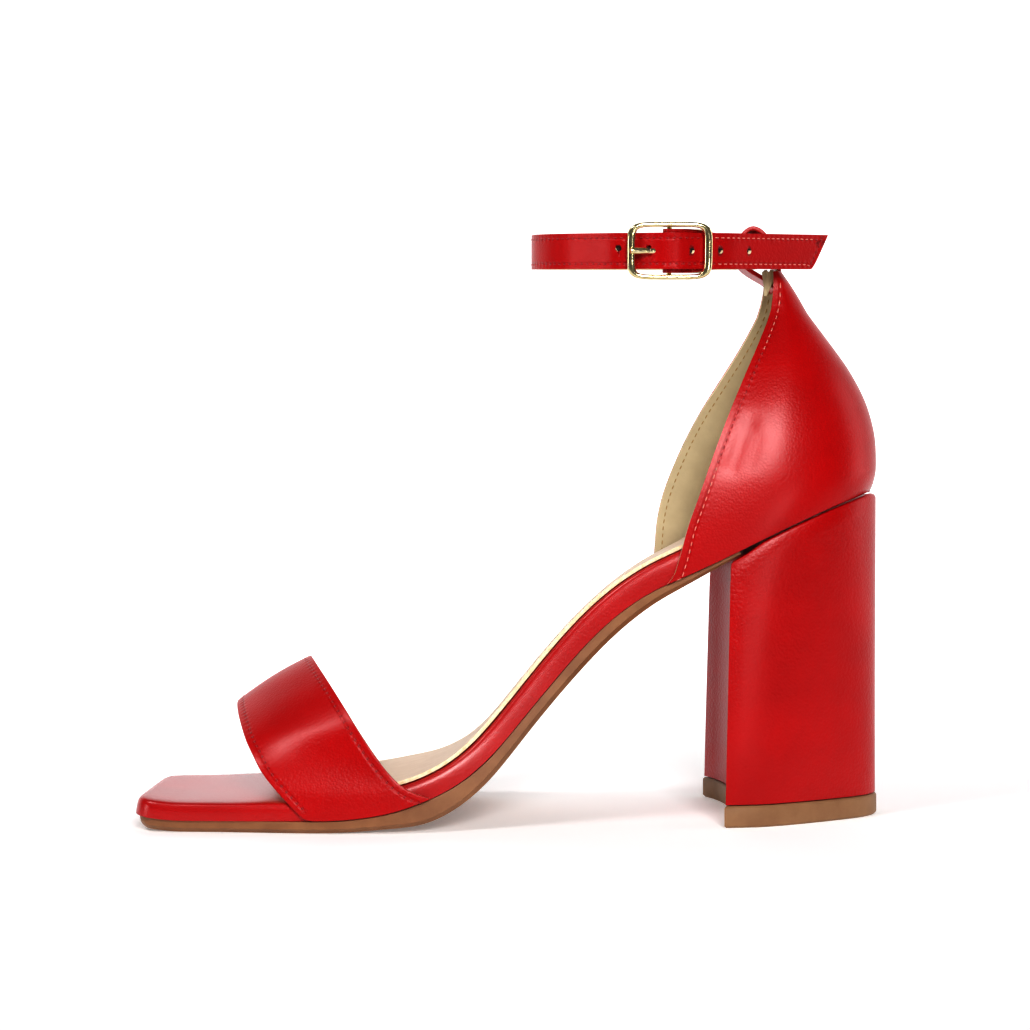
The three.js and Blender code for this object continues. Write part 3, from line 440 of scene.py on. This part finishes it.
# A row of points along a chain, set in from its edge and evenly spaced
def seamPath(chain, inset, pitch, trimStart=0, trimEnd=0):
    points = [co + inward * inset * mm for co, inward in chain]
    lengths = np.cumsum([0] + [(b - a).length for a, b in zip(points, points[1:])])
    first = trimStart * mm
    last = lengths[-1] - trimEnd * mm
    count = max(int(round((last - first) / (pitch * mm))), 2)
    coords = np.array([tuple(p) for p in points])
    where = np.linspace(first, last, count + 1)
    return np.stack([np.interp(where, lengths, coords[:, k]) for k in range(3)], axis=1)


# Stores how far each vertex is from the nearest seam and how far along it, in pitches
def markSeams(piece, paths, reach=5.0):
    mesh = piece.data
    count = len(mesh.vertices)
    coords = np.empty(count * 3)
    mesh.vertices.foreach_get("co", coords)
    coords = coords.reshape(-1, 3) / mm
    best = np.full(count, reach)
    along = np.zeros(count)
    for path in paths:
        path = path / mm
        for i in range(len(path) - 1):
            step = path[i + 1] - path[i]
            t = np.clip(((coords - path[i]) @ step) / (step @ step), 0, 1)
            apart = np.linalg.norm(coords - path[i] - t[:, None] * step, axis=1)
            closer = apart < best
            best[closer] = apart[closer]
            along[closer] = i + t[closer]
    for name, values in (("seamSide", best), ("seamAlong", along)):
        attribute = mesh.attributes.new(name, "FLOAT", "POINT")
        attribute.data.foreach_set("value", values.astype(np.float32))


# One small rounded stitch for each step of a path, laid on the surface and drawn into it at its ends
stitch = {"length": 0.64, "width": 0.4, "height": 0.3, "sink": 0.02, "wander": 0.05, "castFrom": 0.4}


def sewSeams(name, piece, paths, material, wall=0, keep=None):
    surface = BVHTree.FromObject(piece, bpy.context.evaluated_depsgraph_get())
    bm = bmesh.new()
    for path in paths:
        for a, b in zip(path[:-1], path[1:]):
            middle = Vector((a + b) / 2)
            place, normal = surface.find_nearest(middle)[:2]
            if wall:
                start = place - normal * stitch["castFrom"] * mm
                place, normal = surface.ray_cast(start, -normal, wall * 2 * mm)[:2]
                if place is None:
                    continue
            if keep and not keep(place / mm):
                continue
            forward = Vector(b - a)
            length = forward.length * stitch["length"]
            forward = (forward - normal * forward.dot(normal)).normalized()
            sideways = normal.cross(forward)
            swing = random.uniform(-stitch["wander"], stitch["wander"])
            forward = (forward + sideways * swing).normalized()
            sideways = normal.cross(forward)
            turned = Matrix((forward, sideways, normal)).transposed().to_4x4()
            turned.translation = place - normal * stitch["sink"] * mm
            size = Matrix.Diagonal((length / 2, stitch["width"] / 2 * mm, stitch["height"] / 2 * mm, 1))
            lying = Matrix.Rotation(math.pi / 2, 4, "Y")
            bmesh.ops.create_uvsphere(
                bm, u_segments=6, v_segments=6, radius=1, matrix=turned @ size @ lying)
    return finished(toObject(bm, name, [material]), "red_leather")


# Presses soft troughs, or lifts ridges, into a piece. Each row runs between two places seen from the side.
def pressCreases(piece, rows):
    mesh = piece.data
    for vertex in mesh.vertices:
        x, y, z = vertex.co / mm
        push = 0
        for row in rows:
            if y * row["side"] < 0:
                continue
            start = Vector((row["fromX"], row["fromZ"]))
            run = Vector((row["toX"], row["toZ"])) - start
            t = (Vector((x, z)) - start).dot(run) / run.length_squared
            apart = (Vector((x, z)) - start - run * min(max(t, 0), 1)).length
            fade = math.exp(-(apart / row["width"]) ** 2)
            push += row["depth"] * fade
        if push:
            inward = Vector((0, -row["side"], 0))
            vertex.co += inward * push * mm
    mesh.update()


# Upper

toeStrap = {
    "corner": 40, "turn": 40, "evenness": 2, "soften": 0.3, "levels": 2,
    "inset": 2.0, "pitch": 2.1, "wall": 1.5,
}
linedCalf = [redCalf, beigeLining, redEdge, creamEdge]
strapPiece, chains = leatherWall("toe_strap", "toeStrap", toeStrap, linedCalf)
longest = sorted(chains, key=chainLength)[-2:]
paths = [seamPath(c, toeStrap["inset"], toeStrap["pitch"], 2, 2) for c in longest]
markSeams(strapPiece, paths)
finished(strapPiece, "red_leather", "toe_strap")
sewSeams("toeStrapStitches", strapPiece, paths, redThread)
sewSeams("toeStrapStitchesInside", strapPiece, paths, liningThread, toeStrap["wall"])
print("toe strap sewn")

heelCup = {
    "corner": 33, "turn": 40, "evenness": 1, "soften": 0.3, "levels": 2,
    "inset": 2.1, "pitch": 2.2, "wall": 1.5, "darkFrom": 101, "darkTo": 134,
}
# The cup's point is drawn up under the ankle strap
cupPoint = {"fromZ": 147, "toZ": 156.2, "lift": 3.1, "forward": -0.6}


def drawnUp(place):
    share = max(0, place[2] / mm - cupPoint["fromZ"]) / (cupPoint["toZ"] - cupPoint["fromZ"])
    return Vector(place) + Vector((cupPoint["forward"], 0, cupPoint["lift"])) * share * mm


# One thread drawn in two colours by height: dark red in the middle, as painted shade where the skin puckers
# most, and pale above and below
def onPuckers(place):
    return heelCup["darkFrom"] < place.z < heelCup["darkTo"]


cupCreases = [
    {"side": -1, "fromX": 66, "fromZ": 114, "toX": 61, "toZ": 101, "width": 2.2, "depth": 0.2},
    {"side": -1, "fromX": 68, "fromZ": 109, "toX": 65.6, "toZ": 102, "width": 1.8, "depth": 0.15},
    {"side": -1, "fromX": 63, "fromZ": 108, "toX": 59, "toZ": 101, "width": 1.7, "depth": 0.13},
]
cupPiece, chains = leatherWall("heel_counter", "heelCup", heelCup, linedCalf)
pressCreases(cupPiece, cupCreases)
for vertex in cupPiece.data.vertices:
    vertex.co = drawnUp(vertex.co)
chains = sorted(chains, key=chainLength)[-3:]
seat = min(chains, key=lambda c: sum(p.z for p, inward in c) / len(c))
paths = [seamPath(c, heelCup["inset"], heelCup["pitch"], 2, 2) for c in chains if c is not seat]
paths = [np.array([tuple(drawnUp(point)) for point in path]) for path in paths]
markSeams(cupPiece, paths)
finished(cupPiece, "red_leather", "heel_counter")
# Painted shade: the stitches in the puckered middle take the dark red thread
sewSeams("heelCupStitches", cupPiece, paths, redThread, keep=onPuckers)
sewSeams("heelCupPaleStitches", cupPiece, paths, paleThread, keep=lambda p: not onPuckers(p))
sewSeams("heelCupStitchesInside", cupPiece, paths, liningThread, heelCup["wall"])
print("heel cup sewn")

backLoop = {"corner": 50, "turn": 40, "evenness": 1.5, "soften": 0.25, "levels": 2}
loopPiece, chains = leatherWall("back_tab", "backLoop", backLoop, [redCalf, redEdge, redEdge, redEdge])
markSeams(loopPiece, [])
finished(loopPiece, "red_leather", "back_tab")

# The lining's end, turned out over the cup's point, with a ragged cut edge
liningEnd = {
    "x": 73.7, "y": -2.85, "lowZ": 152.2, "highZ": 159.4, "width": 4.6, "lean": 1.3,
    "wall": 0.5, "ragged": 0.35,
}


def makeLiningEnd():
    bm = bmesh.new()
    bmesh.ops.create_grid(bm, x_segments=14, y_segments=18, size=0.5)
    for vert in bm.verts:
        across, up = vert.co.x, vert.co.y + 0.5
        ragged = liningEnd["ragged"] * (math.sin(across * 17) + 0.6 * math.sin(across * 31 + 1))
        x = liningEnd["x"] + across * liningEnd["width"] * (0.15 + 0.85 * up) + liningEnd["lean"] * (up - 0.5)
        z = liningEnd["lowZ"] + up * (liningEnd["highZ"] - liningEnd["lowZ"]) + ragged * up ** 3
        y = liningEnd["y"] - 0.5 * math.sin(up * math.pi) + 1.2 * across ** 2
        vert.co = Vector((x, y, z)) * mm
    bmesh.ops.solidify(bm, geom=list(bm.faces), thickness=liningEnd["wall"] * mm)
    bmesh.ops.recalc_face_normals(bm, faces=bm.faces)
    for face in bm.faces:
        face.material_index = 0 if abs(face.normal.y) > 0.6 else 1
    finished(toObject(bm, "turnedLiningEnd", [beigeLining, creamEdge]), "sock_leather")


makeLiningEnd()

ankle = {
    "roll": 7.5, "turn": 60, "evenness": 1.5, "soften": 0.25, "levels": 2, "inset": 1.35, "pitch": 1.9,
    "wall": 1.4, "holeRadius": 0.8, "holeLength": 2.4, "nearSide": -27, "tailFrom": 55.5, "outerFrom": -5,
}
# Punched holes along the strap's near side, the second one for the prong
holeRows = [
    {"x": 28.5, "z": 162.3},
    {"x": 37.1, "z": 161.8},
    {"x": 49.1, "z": 161.6},
    {"x": 57.1, "z": 161.6},
    {"x": 65.1, "z": 161.5},
]
anklePiece, chains = leatherStrip("ankle_strap", "ankleStrap", ankle, linedCalf)
longest = sorted(chains, key=chainLength)[-2:]
ends = [c for c in chains if 3 * mm < chainLength(c) < 20 * mm]
tailEnd = max(ends, key=lambda c: sum(p.x for p, inward in c) / len(c))
paths = [seamPath(c, ankle["inset"], ankle["pitch"], 2, 2) for c in longest]
paths.append(seamPath(tailEnd, ankle["inset"], ankle["pitch"], 2, 2))
markSeams(anklePiece, paths)
print("ankle strap shaped")


# Soles, heel and top piece. A solid here may be pressed down, raised, swollen, tucked back or crowned.

def softSolid(nodeName, name, look, materials, slot):
    bm = mergedCopy(nodeName)
    corner = math.radians(look["corner"])
    if "pressed" in look:
        under = list({v for f in bm.faces if f.normal.z < -0.5 for v in f.verts})
        bm.normal_update()
        ways = [sum((f.normal for f in v.link_faces if f.normal.z < -0.5), Vector()) for v in under]
        for vert, way in zip(under, ways):
            vert.co += way.normalized() * look["pressed"] * mm
    if "risen" in look:
        bm.normal_update()
        for vert in [v for v in bm.verts if any(f.normal.z > 0.6 for f in v.link_faces)]:
            vert.co.z += look["risen"] * mm
    if "swell" in look:
        bm.normal_update()
        for vert in bm.verts:
            vert.co += vert.normal * look["swell"] * mm
    if len(materials) > 1:
        for face in bm.faces:
            face.material_index = 1 if face.normal.z < 0.2 else 0
    if "tuckFrom" in look:
        front = look["tuckFrom"] * mm
        for vert in bm.verts:
            vert.co.x = max(vert.co.x, front + (vert.co.x - front) * look["tuckShare"])
    if "crown" in look:
        top = [e for e in bm.edges if e.calc_face_angle(0) > corner
               and min(v.co.z for v in e.verts) > look["crownFrom"] * mm]
        bmesh.ops.bevel(
            bm, geom=top, offset=look["crown"] * mm, offset_type="OFFSET", affect="EDGES", segments=4,
            profile=0.5, material=-1, clamp_overlap=True)
    sharp = [e for e in bm.edges if e.calc_face_angle(0) > corner]
    bmesh.ops.bevel(
        bm, geom=sharp, offset=look["soften"] * mm, offset_type="OFFSET", affect="EDGES", segments=2,
        profile=0.5, material=-1, clamp_overlap=True)
    piece = toObject(bm, name, materials)
    if look["levels"]:
        piece = subdivided(piece, look["levels"])
    return finished(piece, slot, nodeName)


insole = {"corner": 50, "soften": 0.3, "levels": 2}
softSolid("insole", "coveredInsole", insole, [insoleCalf], "red_leather")
# The sock is pressed onto the insole, and its front end is tucked back under the toe strap
sock = {"corner": 50, "soften": 0.12, "levels": 2, "pressed": 0.33, "tuckFrom": -58, "tuckShare": 0.3}
softSolid("sock_lining", "sockLining", sock, [sockLeather, creamEdge], "sock_leather")
# The sole is pressed up under the insole, so that no slit shows between them
outsole = {"corner": 28, "soften": 0.15, "levels": 2, "risen": 0.24}
softSolid("outsole", "outsoleUnit", outsole, [tanSole], "tan_sole")
# The cover is pulled over the heel's top edge, which is rounder than its other edges
heel = {"corner": 38, "soften": 0.5, "crown": 1.3, "crownFrom": 60, "levels": 0}
softSolid("heel_block", "coveredHeel", heel, [heelCalf], "red_leather")
lift = {"corner": 38, "soften": 0.2, "levels": 0}
softSolid("top_lift", "heelLift", lift, [tanLift], "tan_lift")
print("sole and heel shaped")


# Stage: a white sweep whose glow, dim in front and bright at the back, is painted light in place of lamps on
# the paper, soft boxes in front and at the left, and panels that edge the shoe

sweep = {
    "width": 12, "front": -2.2, "back": 1.3, "radius": 0.7, "height": 2.6, "colour": "#ECECEC",
    "farColour": "#808080", "farFrom": -0.42, "farTo": -0.25,
    "glowFrom": -0.35, "glowTo": 0.6, "dimGlow": 0.04, "fullGlow": 0.85,
}


def makeSweep():
    bm = bmesh.new()
    ends = [bm.verts.new((x * sweep["width"] / 2, sweep["front"], 0)) for x in (-1, 1)]
    edge = bm.edges.new(ends)
    for move in ((0, sweep["back"] - sweep["front"], 0), None, (0, 0, sweep["height"])):
        if move is None:
            turned = bmesh.ops.spin(
                bm, geom=[edge, *edge.verts], cent=(0, sweep["back"], sweep["radius"]), axis=(1, 0, 0),
                angle=math.pi / 2, steps=16, use_merge=False)
            grown = turned["geom_last"]
        else:
            grown = bmesh.ops.extrude_edge_only(bm, edges=[edge])["geom"]
            bmesh.ops.translate(bm, verts=[g for g in grown if isinstance(g, bmesh.types.BMVert)], vec=move)
        verts = [g for g in grown if isinstance(g, bmesh.types.BMVert)]
        edge = [g for g in grown if isinstance(g, bmesh.types.BMEdge) and all(v in verts for v in g.verts)][0]
    bmesh.ops.recalc_face_normals(bm, faces=bm.faces)
    material, tree, shader, place = startMaterial("whitePaperSweep", Roughness=0.9)
    shader.inputs["Specular IOR Level"].default_value = 0
    shader.inputs["Emission Color"].default_value = (1, 1, 1, 1)
    apart = addNode(tree, "ShaderNodeSeparateXYZ", {"Vector": place})
    # Painted light: the paper glows, dim in front and bright towards the back, standing in for lamps that
    # would light the backdrop
    glow = addNode(tree, "ShaderNodeMapRange", {
        "Value": apart.outputs["Y"], "From Min": sweep["glowFrom"], "From Max": sweep["glowTo"],
        "To Min": sweep["dimGlow"], "To Max": sweep["fullGlow"]}, interpolation_type="SMOOTHSTEP")
    tree.links.new(glow.outputs["Result"], shader.inputs["Emission Strength"])
    near = addNode(tree, "ShaderNodeMapRange", {
        "Value": apart.outputs["Y"], "From Min": sweep["farFrom"], "From Max": sweep["farTo"]})
    colour = addNode(tree, "ShaderNodeMix", {
        "Factor": near.outputs["Result"], "A": hexColour(sweep["farColour"]), "B": hexColour(sweep["colour"]),
    }, data_type="RGBA")
    tree.links.new(colour.outputs["Result"], shader.inputs["Base Color"])
    piece = toObject(bm, "paperSweep", [material])


def areaLight(name, place, target, width, height, watts, spread=180):
    data = bpy.data.lights.new(name, "AREA")
    data.shape = "RECTANGLE"
    data.size = width
    data.size_y = height
    data.energy = watts
    data.spread = math.radians(spread)
    light = bpy.data.objects.new(name, data)
    light.location = place
    light.visible_camera = False
    light.rotation_euler = (Vector(target) - Vector(place)).to_track_quat("-Z", "Y").to_euler()
    scene.collection.objects.link(light)


room = {"strength": 0.14}
lights = [
    {"name": "frontSoftbox", "place": (0.14, -0.92, 0.53), "target": (0.04, 0, 0.09),
     "width": 0.26, "height": 0.42, "watts": 1.55, "spread": 75},
    {"name": "leftSoftbox", "place": (-0.47, -0.38, 0.78), "target": (-0.05, -0.02, 0.05),
     "width": 0.24, "height": 0.24, "watts": 3},
    {"name": "leftReflector", "place": (-0.95, -0.55, 0.14), "target": (0, 0, 0.16),
     "width": 0.4, "height": 0.3, "watts": 1.8},
    {"name": "rightPanel", "place": (0.95, 0.08, 0.3), "target": (0.06, 0, 0.1),
     "width": 0.4, "height": 0.8, "watts": 2},
    {"name": "lowReflector", "place": (0.3, -0.6, 0.02), "target": (0.08, 0, 0.06),
     "width": 0.14, "height": 0.1, "watts": 0.4},
]


def makeLights():
    world = bpy.data.worlds.new("softRoom")
    world.use_nodes = True
    background = world.node_tree.nodes["Background"]
    background.inputs["Color"].default_value = (1, 1, 1, 1)
    background.inputs["Strength"].default_value = room["strength"]
    scene.world = world
    for light in lights:
        areaLight(**light)


# The camera stands level, square to the outer side, as it did for the photo
photoCamera = {"place": (-0.43, -528.1, 87.7), "lens": 62.6, "sensor": 36}


def makeCamera():
    data = bpy.data.cameras.new("photoCamera")
    data.sensor_width = photoCamera["sensor"]
    data.lens = photoCamera["lens"]
    data.clip_start = 0.01
    camera = bpy.data.objects.new("photoCamera", data)
    camera.location = [distance * mm for distance in photoCamera["place"]]
    camera.rotation_euler = (math.pi / 2, 0, 0)
    scene.collection.objects.link(camera)
    scene.camera = camera
    return camera


makeSweep()
makeLights()
camera = makeCamera()
print("stage set")


# Ankle strap: punched holes, then thread

def punchHoles():
    surface = BVHTree.FromObject(anklePiece, bpy.context.evaluated_depsgraph_get())
    eye = camera.location
    bm = bmesh.new()
    for row in holeRows:
        aim = Vector((row["x"], ankle["nearSide"], row["z"])) * mm
        place, normal = surface.ray_cast(eye, (aim - eye).normalized())[:2]
        turned = normal.to_track_quat("Z", "Y").to_matrix().to_4x4()
        turned.translation = place
        radius = ankle["holeRadius"] * mm
        bmesh.ops.create_cone(
            bm, cap_ends=True, segments=20, radius1=radius, radius2=radius,
            depth=ankle["holeLength"] * mm, matrix=turned)
    # Painted shade: each hole's caps and upper wall take the near-black material, its lower wall the cream
    # cut edge
    for face in bm.faces:
        face.material_index = 1 if len(face.verts) > 4 or face.normal.z > 0.3 else 0
    cutter = toObject(bm, "holePunch", [creamEdge, paintedHoleShade])
    punch = anklePiece.modifiers.new("punch", "BOOLEAN")
    punch.operation = "DIFFERENCE"
    punch.object = cutter
    punch.solver = "EXACT"
    punch.material_mode = "TRANSFER"
    applied(anklePiece)
    bpy.data.objects.remove(cutter)


punchHoles()
finished(anklePiece, "red_leather", "ankle_strap")


def onTail(place):
    return place.x > ankle["tailFrom"] and place.y < ankle["outerFrom"]


sewSeams("ankleStitches", anklePiece, paths, redThread, keep=lambda p: not onTail(p))
sewSeams("ankleTailStitches", anklePiece, paths, paleThread, keep=onTail)
sewSeams("ankleStitchesInside", anklePiece, paths, liningThread, ankle["wall"])
print("ankle strap sewn")


# Buckle: a cast frame with rounded bars, its centre bar on two posts, and a tapered prong

buckle = {
    "middle": (42.83, -27.27, 161.56), "roll": 7.5, "width": 24, "height": 16,
    "sideBar": 2.4, "rail": 1.4, "depth": 2.0, "squareness": 6,
    "barRadius": 0.7, "barRecess": 1.8, "postOverlap": 0.4, "around": 72, "section": 12,
    "sectionPower": 0.7, "barFacets": 20,
}


# A place on the middle line of a rounded rectangle, with the way that is outwards there
def frameLine(share):
    halfX = (buckle["width"] - buckle["sideBar"]) / 2
    halfZ = (buckle["height"] - buckle["rail"]) / 2
    angle = 2 * math.pi * share
    outward = Vector((math.cos(angle), math.sin(angle)))
    side = Vector((math.copysign(1, outward.x), math.copysign(1, outward.y)))
    sharpness = buckle["squareness"]
    scale = (abs(outward.x / halfX) ** sharpness + abs(outward.y / halfZ) ** sharpness) ** (-1 / sharpness)
    point = outward * scale
    way = Vector((
        side.x * abs(point.x / halfX) ** (sharpness - 1) / halfX,
        side.y * abs(point.y / halfZ) ** (sharpness - 1) / halfZ,
    )).normalized()
    return point, way


# Flattens a round section towards a rounded square
def squared(value):
    return math.copysign(abs(value) ** buckle["sectionPower"], value)


def makeBuckle():
    bm = bmesh.new()
    rings = []
    for k in range(buckle["section"]):
        angle = 2 * math.pi * k / buckle["section"]
        circle = bmesh.ops.create_circle(bm, cap_ends=False, segments=buckle["around"], radius=1)["verts"]
        for i, vert in enumerate(circle):
            point, way = frameLine(i / buckle["around"])
            half = (buckle["rail"] + (buckle["sideBar"] - buckle["rail"]) * way.x ** 2) / 2
            across = squared(math.cos(angle)) * half
            out = squared(math.sin(angle)) * buckle["depth"] / 2
            spot = point + way * across
            vert.co = Vector((spot.x, -out, spot.y)) * mm
        rings.append([e for e in bm.edges if all(v in circle for v in e.verts)])
    for first, second in zip(rings, rings[1:] + rings[:1]):
        bmesh.ops.bridge_loops(bm, edges=first + second)
    reach = buckle["height"] - buckle["rail"]
    bar = Matrix.Translation(Vector((0, buckle["barRecess"], 0)) * mm)
    radius = buckle["barRadius"] * mm
    bmesh.ops.create_cone(
        bm, cap_ends=True, segments=buckle["barFacets"], radius1=radius, radius2=radius,
        depth=reach * mm, matrix=bar)
    for side in (-1, 1):
        post = Matrix.Translation(Vector((0, buckle["barRecess"] / 2, side * reach / 2)) * mm)
        bmesh.ops.create_cone(
            bm, cap_ends=True, segments=buckle["barFacets"], radius1=radius, radius2=radius,
            depth=(buckle["barRecess"] + buckle["postOverlap"]) * mm,
            matrix=post @ Matrix.Rotation(math.pi / 2, 4, "X"))
    roll = Matrix.Rotation(math.radians(buckle["roll"]), 4, "X")
    bmesh.ops.transform(
        bm, verts=bm.verts, matrix=Matrix.Translation(Vector(buckle["middle"]) * mm) @ roll)
    bmesh.ops.recalc_face_normals(bm, faces=bm.faces)
    finished(toObject(bm, "castBuckle", [gold]), "gold_metal", "buckle_frame")


makeBuckle()
# The real prong is thicker than the solid's, which keeps its clearance
pin = {"corner": 60, "soften": 0.15, "levels": 2, "swell": 0.4}
softSolid("buckle_prong", "bucklePin", pin, [gold], "gold_metal")
print("buckle made")
